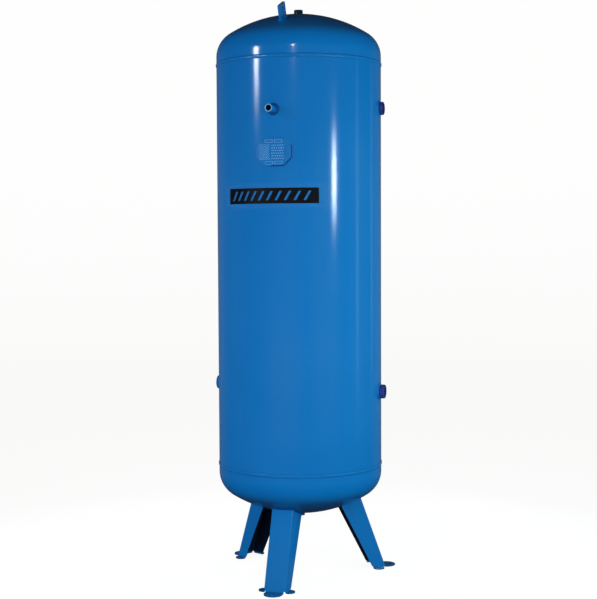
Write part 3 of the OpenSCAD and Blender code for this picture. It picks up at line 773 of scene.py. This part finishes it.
def plateRelief(across, rise):
    # raised rim inside the cut corners, a field of dots on the left, rows of blank dashes and two
    # empty stamping boxes on the right
    look = plateLook
    field, row = look["halfField"], look["dashRow"]
    x, z = across, rise - plateZ
    inset = plateInset(x, z)
    rim = smoothStep(inset - look["edge"], 0.8) * smoothStep(look["edge"] + look["rim"] - inset, 0.8)
    inDots = (x > look["dots"][0]) & (x < look["dots"][1]) & (abs(z) < field)
    dots = np.cos(fullTurn * x / look["dotPitch"]) * np.cos(fullTurn * z / look["dotPitch"])
    dots = smoothStep(dots - 0.1, 0.6)
    shift = look["dashShift"] * np.floor((z + field) / row)
    inDashes = (x > look["dashes"][0]) & (x < look["dashes"][1]) & (abs(z) < field)
    bars = smoothStep(np.sin(fullTurn * (x + shift) / look["dashPitch"]) + 0.3, 0.5)
    bars = bars * smoothStep(np.cos(fullTurn * (z + field - row / 2) / row) - 0.2, 0.4)
    boxEdge = np.maximum(abs(abs(x) - look["boxCentre"][0]) - look["box"][0],
                         abs(abs(z) - look["boxCentre"][1]) - look["box"][1])
    boxes = smoothStep(boxEdge + look["boxLine"], 0.5) * smoothStep(look["boxLine"] - boxEdge, 0.5)
    relief = np.maximum(rim, np.maximum(np.where(inDots, dots, 0), np.where(inDashes, bars, 0)))
    relief = np.maximum(relief, np.where(abs(z) > field + 1, boxes, 0))
    return look["thick"] + look["raised"] * relief


def dataPlate():
    look = plateLook
    level = np.linspace(-look["height"] / 2, look["height"] / 2, int(look["height"] / look["step"]))
    half = np.minimum(look["width"] / 2, (look["width"] + look["height"]) / 2 - look["cut"] - abs(level))
    points, faces = wrappedSlab(level + plateZ, -half, half, vesselR + vessel["seatGap"] * mm,
                                plateRelief, int(look["width"] / look["step"]))
    # the dots and dashes are scuffed pale on top, and a dark band of painted shade runs along the lower
    # right edge
    middle = points[faces].mean(1)
    x, z = np.arctan2(middle[:, 0], -middle[:, 1]) * vesselR / mm, middle[:, 2] / mm
    front = np.hypot(middle[:, 0], middle[:, 1]) > vesselR + (vessel["seatGap"] + look["thick"] - 0.1) * mm
    lifted = plateRelief(x, z) - look["thick"] > look["scuffed"] * look["raised"]
    inset = plateInset(x, z - plateZ)
    scuffed = front & lifted & (inset > look["edge"] + look["rim"]) & (x < look["shadeLine"])
    shadedEdge = (inset < look["shadeWidth"]) & (x - (z - plateZ) > look["shadeLine"])
    addPiece("dataPlateEmbossed", points, faces, [plateEnamel, creaseShadeEnamel, paleWearAndHighlightEnamel],
             ["data_plate"], np.where(scuffed, 2, np.where(shadedEdge, 1, 0)))


dataPlate()

rivetLook = dict(headR=3.5, headH=1.8, shankR=1.75, shankL=1.5, seat=1.55, inset=10)


def plateRivets():
    # a dome on a short shank, closed at both poles, four times
    look = rivetLook
    sweep = np.linspace(0, math.pi / 2, 8)
    r = np.concatenate([look["headR"] * np.sin(sweep), [look["shankR"], look["shankR"], 0]]) * mm
    h = np.concatenate([look["headH"] * np.cos(sweep), [0, -look["shankL"], -look["shankL"]]]) * mm
    angle = np.linspace(0, fullTurn, 24, endpoint=False)
    solids = []
    for side in (-1, 1):
        for rowSide in (-1, 1):
            a = side * math.asin((plateLook["width"] / 2 - plateLook["cut"]) * mm / vesselR)
            z = (plateZ + rowSide * (plateLook["height"] / 2 - look["inset"])) * mm
            axis, across = directions(a)
            foot = axis * (vesselR + look["seat"] * mm) + [0, 0, z]
            points = turnedPoints(foot, (axis, across, [0, 0, 1]), r[:, None], h[:, None], angle)
            solids.append((points.reshape(-1, 3), gridFaces(len(r), len(angle), False, True)))
    points, faces = joinSolids(solids)
    addPiece("plateRivets", points, faces, [plateEnamel], ["plate_rivets"], merge=True)


plateRivets()

labelLook = dict(corner=5, sheet=0.3, filmGap=0.1, bandGap=0.5, railHeight=11, slot=9, slant=9,
                 blocks=11, narrowest=0.8, widest=1.2)


def azimuthSpan(node):  # arc positions in mm of a wrapped piece's left and right ends
    lowest, highest = corners(node)
    return [math.asin(x / vesselR) * vesselR / mm for x in (lowest[0], highest[0])]


def roundedRows(height, corner):
    # levels that gather at the corners, and how far each row's ends draw in: c - sqrt(c^2 - d^2)
    sweep = corner * np.sin(np.linspace(0, math.pi / 2, 7))
    upper = height / 2 - corner + sweep
    straight = np.linspace(corner - height / 2, height / 2 - corner, 12)[1:-1]
    level = np.concatenate([-upper[::-1], straight, upper])
    past = np.maximum(abs(level) - (height / 2 - corner), 0)
    return level, corner - np.sqrt(np.maximum(corner ** 2 - past ** 2, 0))


def labelSheet(across, rise):  # the film's and the ink's thickness is the same all over
    return labelLook["sheet"] + 0 * across


def label():
    look = labelLook
    lowest, highest = corners("label_film")
    middle, height = (lowest[2] + highest[2]) / 2 / mm, (highest[2] - lowest[2]) / mm
    left, right = azimuthSpan("label_film")
    level, drawIn = roundedRows(height, look["corner"])
    points, faces = wrappedSlab(level + middle, left + drawIn, right - drawIn,
                                vesselR + look["filmGap"] * mm, labelSheet, 90)
    addPiece("labelFilmClear", points, faces, [film], ["label_film"])
    # the printed band: two rails with slanted blocks between them
    lowest, highest = corners("label_band")
    left, right = azimuthSpan("label_band")
    half = (highest[2] - lowest[2]) / 2 / mm
    inner = half - look["railHeight"]
    bandR = vesselR + look["bandGap"] * mm
    ends = np.full(3, left), np.full(3, right)
    solids = [wrappedSlab(np.linspace(low, high, 3) + middle, *ends, bandR, labelSheet, 80)
              for low, high in ((-half, -inner), (inner, half))]
    level = np.linspace(-inner, inner, 7)
    lean = look["slant"] * level / inner
    # blocks grow from left to right between slots of one width
    first, last = left + look["slant"], right - look["slant"]
    widths = np.linspace(look["narrowest"], look["widest"], look["blocks"])
    widths = widths / widths.sum() * (last - first - look["slot"] * (look["blocks"] - 1))
    starts = first + np.concatenate([[0], np.cumsum(widths[:-1] + look["slot"])])
    for i in range(look["blocks"]):
        leftEdge = np.full(7, left) if i == 0 else starts[i] + lean
        rightEdge = np.full(7, right) if i == look["blocks"] - 1 else starts[i] + widths[i] + lean
        solids.append(wrappedSlab(level + middle, leftEdge, rightEdge, bandR, labelSheet, 16))
    points, faces = joinSolids(solids)
    addPiece("labelBandPrinted", points, faces, [ink], ["label_band"])


label()
print("plate and label made")


stageLook = dict(floorR=6.5, curveR=2.5, top=6.0, colour="#6c6c6b", glow=0.955, glowColour="#fbfbfa",
                 grain=1000 / 3)


def studioBowl():
    # a pale floor that curves up into a wall all round
    look = stageLook
    curve = np.linspace(0, math.pi / 2, 16)
    r = np.concatenate([[mm, 1, 3], look["floorR"] + look["curveR"] * np.sin(curve),
                        [look["floorR"] + look["curveR"]]])
    z = np.concatenate([[0, 0, 0], look["curveR"] * (1 - np.cos(curve)), [look["top"]]])
    azimuth = np.linspace(0, fullTurn, 96, endpoint=False)
    points = onAxis(r[:, None], azimuth[None, :], z[:, None]).reshape(-1, 3)
    mesh = bpy.data.meshes.new("studioBowl")
    mesh.from_pydata(points.tolist(), [], gridFaces(len(r), len(azimuth), False, True)[:, ::-1].tolist())
    mesh.shade_smooth()
    material, tree, _, grain = newMaterial("paleStudioPaint", look, grain=4)
    rough = addNode(tree, "MapRange", {}, {3: 0.8, 4: 0.95}, {0: grain})
    shader = addNode(tree, "BsdfPrincipled", {},
                     {"Base Color": linearColour(look["colour"]), "Specular IOR Level": 0.1,
                      "Emission Color": linearColour(look["glowColour"]),
                      "Emission Strength": look["glow"]},
                     {"Roughness": rough})
    addNode(tree, "OutputMaterial", {}, {}, {0: shader})
    mesh.materials.append(material)
    bowl = bpy.data.objects.new("studioBowl", mesh)
    scene.collection.objects.link(bowl)
    bowl.visible_glossy = False  # keeps the gloss on the vessel dark, as in a black studio
    bowl.visible_diffuse = False
    bowl.visible_shadow = False


studioBowl()

# Strips give the vessel its long highlights. Soft panels stand close round it, no higher than its
# shell, so the heads fall into the dark; they are kept out of the gloss. Azimuths are in
# degrees, the rest in metres and watts. fade gives the shares of the height over which a
# light brightens from its lower and its upper end.
lineLook = dict(distance=4.2, z=1.25, size=(0.12, 3.0), fade=(0.4, 0.4), colour="#a8dcff")
lights = {
    "keyStrip": dict(azimuth=-41.2, distance=4.2, z=2.40, size=(0.44, 0.80), power=44, fade=(0.75, 0.12),
                     colour="#eef8ff"),
    "rightStrip": dict(azimuth=64.4, distance=4.2, z=1.62, size=(0.42, 0.72), power=44, fade=(0.5, 0.5),
                       colour="#e4f2ff"),
    "frontTop": dict(azimuth=10, distance=4.0, z=2.72, size=(0.16, 0.16), power=9, fade=(0.02, 0.02)),
    "sideLine": dict(lineLook, azimuth=102, power=4),
    "rearLine": dict(lineLook, azimuth=134, power=2),
}
panelLook = dict(distance=1.6, z=1.06, size=(0.9, 1.6), fade=(0.15, 0.15), panel=True)
for name, azimuth, power, colour in (
        ("panelLeft", -82, 7.8, "#ecfff8"), ("panelFront", -2, 3.9, "#f4f8f6"),
        ("panelRight", 50, 9.8, "#d2ffe6"), ("panelSide", 105, 12, "#d2ffe8"),
        ("panelRearRight", 158, 5, "#f4f8ff"), ("panelRearLeft", -135, 5, "#f4f8ff")):
    lights[name] = dict(panelLook, azimuth=azimuth, power=power, colour=colour)
lights["legPanel"] = dict(panelLook, azimuth=-4, distance=1.5, z=0.55, size=(1.2, 0.5), power=3.4,
                          colour="#e6fffa")


def addLight(name, look):
    light = bpy.data.lights.new(name, "AREA")
    light.shape = "RECTANGLE"
    light.size, light.size_y = look["size"]
    light.energy = look["power"]
    light.color = linearColour(look.get("colour", "#ffffff"))[:3]
    light.use_nodes = True
    tree = light.node_tree
    part = addNode(tree, "SeparateXYZ", {}, {}, {0: addNode(tree, "NewGeometry").outputs["Parametric"]})
    lower, upper = look["fade"]
    rise = addNode(tree, "MapRange", smooth, {2: lower}, {0: part.outputs[1]})
    fall = addNode(tree, "MapRange", smooth, {1: 1.0 - upper, 3: 1.0, 4: 0.0}, {0: part.outputs[1]})
    both = addNode(tree, "Math", multiply, {}, {0: rise, 1: fall})
    tree.links.new(both.outputs[0], tree.nodes["Emission"].inputs["Strength"])
    lamp = bpy.data.objects.new(name, light)
    a = math.radians(look["azimuth"])
    lamp.location = (look["distance"] * math.sin(a), -look["distance"] * math.cos(a), look["z"])
    lamp.rotation_euler = (math.pi / 2, 0, a)
    lamp.visible_camera = False
    lamp.visible_glossy = not look.get("panel", False)
    scene.collection.objects.link(lamp)


for name, look in lights.items():
    addLight(name, look)

# The studio's air lights the vessel evenly from the sides: bright at the horizon, dark overhead
# and underfoot, weaker behind. Its gloss sees a dark room with a pale wall behind the vessel.
airLook = dict(fill=0.07, bright=1.3, sharpness=14.0, tilt=-0.03, behind=0.6, front=(0.29, -0.956, 0.0),
               turnBack=(-0.7, 0.1), wallFrom=(-0.35, -0.8), room=0.012, wall=0.14,
               colour="#f4f9ff", wallColour="#dfe8f4")


def studioAir():
    # radiance = fill + bright * exp(-sharpness (height - tilt)^2) * (behind at the back, 1 in front)
    look = airLook
    world = bpy.data.worlds.new("studioAir")
    scene.world = world
    world.use_nodes = True
    tree = world.node_tree
    tree.nodes.clear()
    direction = addNode(tree, "TexCoord").outputs["Generated"]
    height = addNode(tree, "SeparateXYZ", {}, {}, {0: direction})
    off = addNode(tree, "Math", {"operation": "SUBTRACT"}, {1: look["tilt"]}, {0: height.outputs[2]})
    square = addNode(tree, "Math", multiply, {}, {0: off, 1: off})
    scaled = addNode(tree, "Math", multiply, {1: -look["sharpness"]}, {0: square})
    belt = addNode(tree, "Math", {"operation": "EXPONENT"}, {}, {0: scaled})
    facing = addNode(tree, "VectorMath", {"operation": "DOT_PRODUCT"}, {1: look["front"]}, {0: direction})
    side = addNode(tree, "MapRange", smooth,
                   {1: look["turnBack"][0], 2: look["turnBack"][1],
                    3: look["behind"] * look["bright"], 4: look["bright"]},
                   {0: facing.outputs["Value"]})
    soft = addNode(tree, "Math", multiply, {}, {0: belt, 1: side})
    wall = addNode(tree, "MapRange", smooth,
                   {1: look["wallFrom"][0], 2: look["wallFrom"][1], 4: look["wall"]},
                   {0: facing.outputs["Value"]})
    pale = addNode(tree, "Math", multiply, {}, {0: belt, 1: wall})
    room = addNode(tree, "Math", add, {1: look["room"]}, {0: pale})
    filled = addNode(tree, "Math", add, {1: look["fill"]}, {0: soft})
    light = addNode(tree, "Background", {}, {"Color": linearColour(look["colour"])}, {"Strength": filled})
    mirror = addNode(tree, "Background", {}, {"Color": linearColour(look["wallColour"])},
                     {"Strength": room})
    path = addNode(tree, "LightPath")
    mixed = addNode(tree, "MixShader", {}, {}, {0: path.outputs["Is Glossy Ray"], 1: light, 2: mirror})
    addNode(tree, "OutputWorld", {}, {}, {0: mixed})


studioAir()

view = dict(azimuth=17.0, distance=4.6, height=1.257, pitch=-3.05, yaw=-0.04, roll=-0.26, lens=75.0)


def addCamera():
    a = math.radians(view["azimuth"])
    data = bpy.data.cameras.new("camera")
    data.lens = view["lens"]
    camera = bpy.data.objects.new("camera", data)
    camera.location = (view["distance"] * math.sin(a), -view["distance"] * math.cos(a), view["height"])
    camera.rotation_euler = (math.pi / 2 + math.radians(view["pitch"]), -math.radians(view["roll"]),
                             a - math.radians(view["yaw"]))
    scene.collection.objects.link(camera)
    bpy.context.scene.camera = camera


addCamera()
scene.view_settings.view_transform = "Standard"
print("studio made")
